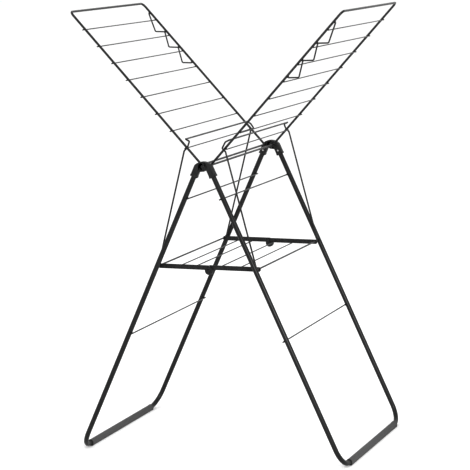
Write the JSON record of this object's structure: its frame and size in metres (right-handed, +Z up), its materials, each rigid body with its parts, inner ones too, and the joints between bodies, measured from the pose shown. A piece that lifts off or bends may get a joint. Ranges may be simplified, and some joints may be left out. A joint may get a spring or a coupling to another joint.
{
  "type": "folding drying rack",
  "caption": "Free-standing folding drying rack: hinged tube legs, raised rod wings on wire supports, hanger rails and a folding wire shelf.",
  "frame": {"origin": "on the floor under the middle of the open rack", "axes": "+Z up, +X across the spread of the legs, +Y along the drying rods"},
  "size_m": [0.8816, 0.6446, 1.3805],
  "materials": {
    "black_painted_tube": "satin black powder coat",
    "black_coated_wire": "satin black coated steel wire",
    "black_plastic": "fine moulded black plastic",
    "grey_plastic": "ribbed dark grey plastic",
    "plain_steel": "zinc plated"
  },
  "bodies": {
    "leg_left": {"leg_frame_left": "black_painted_tube", "foot_strip_left": "grey_plastic", "leg_wire_upper_left": "black_coated_wire", "leg_wire_lower_left": "black_coated_wire", "hinge_socket_left_near": "black_plastic", "socket_screw_left_near": "plain_steel", "pivot_bush_left_near": "black_plastic", "hinge_socket_left_far": "black_plastic", "socket_screw_left_far": "plain_steel", "pivot_bush_left_far": "black_plastic", "hinge_pin_near": "black_painted_tube", "hinge_pin_far": "black_painted_tube"},
    "wing_left": {"wing_frame_left": "black_coated_wire", "wing_pivot_rod_left": "black_coated_wire", "hanger_rail_left": "black_coated_wire", "wing_rod_left_1": "black_coated_wire", "wing_rod_left_2": "black_coated_wire", "wing_rod_left_3": "black_coated_wire", "wing_rod_left_4": "black_coated_wire", "wing_rod_left_5": "black_coated_wire", "wing_rod_left_6": "black_coated_wire", "wing_rod_left_7": "black_coated_wire", "wing_rod_left_8": "black_coated_wire"},
    "support_left": {"wing_support_left": "black_coated_wire"},
    "shelf_left": {"shelf_rail_left_near": "black_plastic", "shelf_rail_left_far": "black_plastic", "shelf_wire_left_1": "black_coated_wire", "shelf_wire_left_2": "black_coated_wire", "knee_rivet_left_near": "black_painted_tube", "knee_rivet_left_far": "black_painted_tube"},
    "leg_right": {"leg_frame_right": "black_painted_tube", "foot_strip_right": "grey_plastic", "leg_wire_upper_right": "black_coated_wire", "leg_wire_lower_right": "black_coated_wire", "hinge_socket_right_near": "black_plastic", "socket_screw_right_near": "plain_steel", "pivot_bush_right_near": "black_plastic", "hinge_socket_right_far": "black_plastic", "socket_screw_right_far": "plain_steel", "pivot_bush_right_far": "black_plastic"},
    "wing_right": {"wing_frame_right": "black_coated_wire", "wing_pivot_rod_right": "black_coated_wire", "hanger_rail_right": "black_coated_wire", "wing_rod_right_1": "black_coated_wire", "wing_rod_right_2": "black_coated_wire", "wing_rod_right_3": "black_coated_wire", "wing_rod_right_4": "black_coated_wire", "wing_rod_right_5": "black_coated_wire", "wing_rod_right_6": "black_coated_wire", "wing_rod_right_7": "black_coated_wire", "wing_rod_right_8": "black_coated_wire"},
    "support_right": {"wing_support_right": "black_coated_wire"},
    "shelf_right": {"shelf_rail_right_near": "black_plastic", "shelf_rail_right_far": "black_plastic", "shelf_wire_right_1": "black_coated_wire", "shelf_wire_right_2": "black_coated_wire", "knee_rivet_right_near": "black_painted_tube", "knee_rivet_right_far": "black_painted_tube"}
  },
  "joints": [
    {"name": "leg_fold", "type": "hinge", "parent": "leg_left", "child": "leg_right", "pos_m": [0, 0, 0.91226], "axis": [0, 1, 0], "range_deg": [0, 49.2]},
    {"name": "wing_left_fold", "type": "hinge", "parent": "leg_left", "child": "wing_left", "pos_m": [-0.0148, 0, 0.91426], "axis": [0, -1, 0], "range_deg": [0, 93]},
    {"name": "support_left_swing", "type": "hinge", "parent": "leg_left", "child": "support_left", "pos_m": [-0.16048, 0, 0.59969], "axis": [0, 1, 0], "range_deg": [0, 7.63]},
    {"name": "shelf_left_fold", "type": "hinge", "parent": "leg_left", "child": "shelf_left", "pos_m": [-0.16048, 0, 0.59969], "axis": [0, -1, 0], "range_deg": [0, 63.86]},
    {"name": "wing_right_fold", "type": "hinge", "parent": "leg_right", "child": "wing_right", "pos_m": [0.0148, 0, 0.91426], "axis": [0, 1, 0], "range_deg": [0, 93]},
    {"name": "support_right_swing", "type": "hinge", "parent": "leg_right", "child": "support_right", "pos_m": [0.16048, 0, 0.59969], "axis": [0, -1, 0], "range_deg": [0, 7.63]},
    {"name": "shelf_right_fold", "type": "hinge", "parent": "leg_right", "child": "shelf_right", "pos_m": [0.16048, 0, 0.59969], "axis": [0, 1, 0], "range_deg": [0, 63.86]}
  ],
  "couplings": [
    {"joint": "support_left_swing", "follows": "wing_left_fold", "ratio": 0.082},
    {"joint": "shelf_left_fold", "follows": "leg_fold", "ratio": 1.298},
    {"joint": "support_right_swing", "follows": "wing_right_fold", "ratio": 0.082},
    {"joint": "shelf_right_fold", "follows": "leg_fold", "ratio": 1.298}
  ]
}
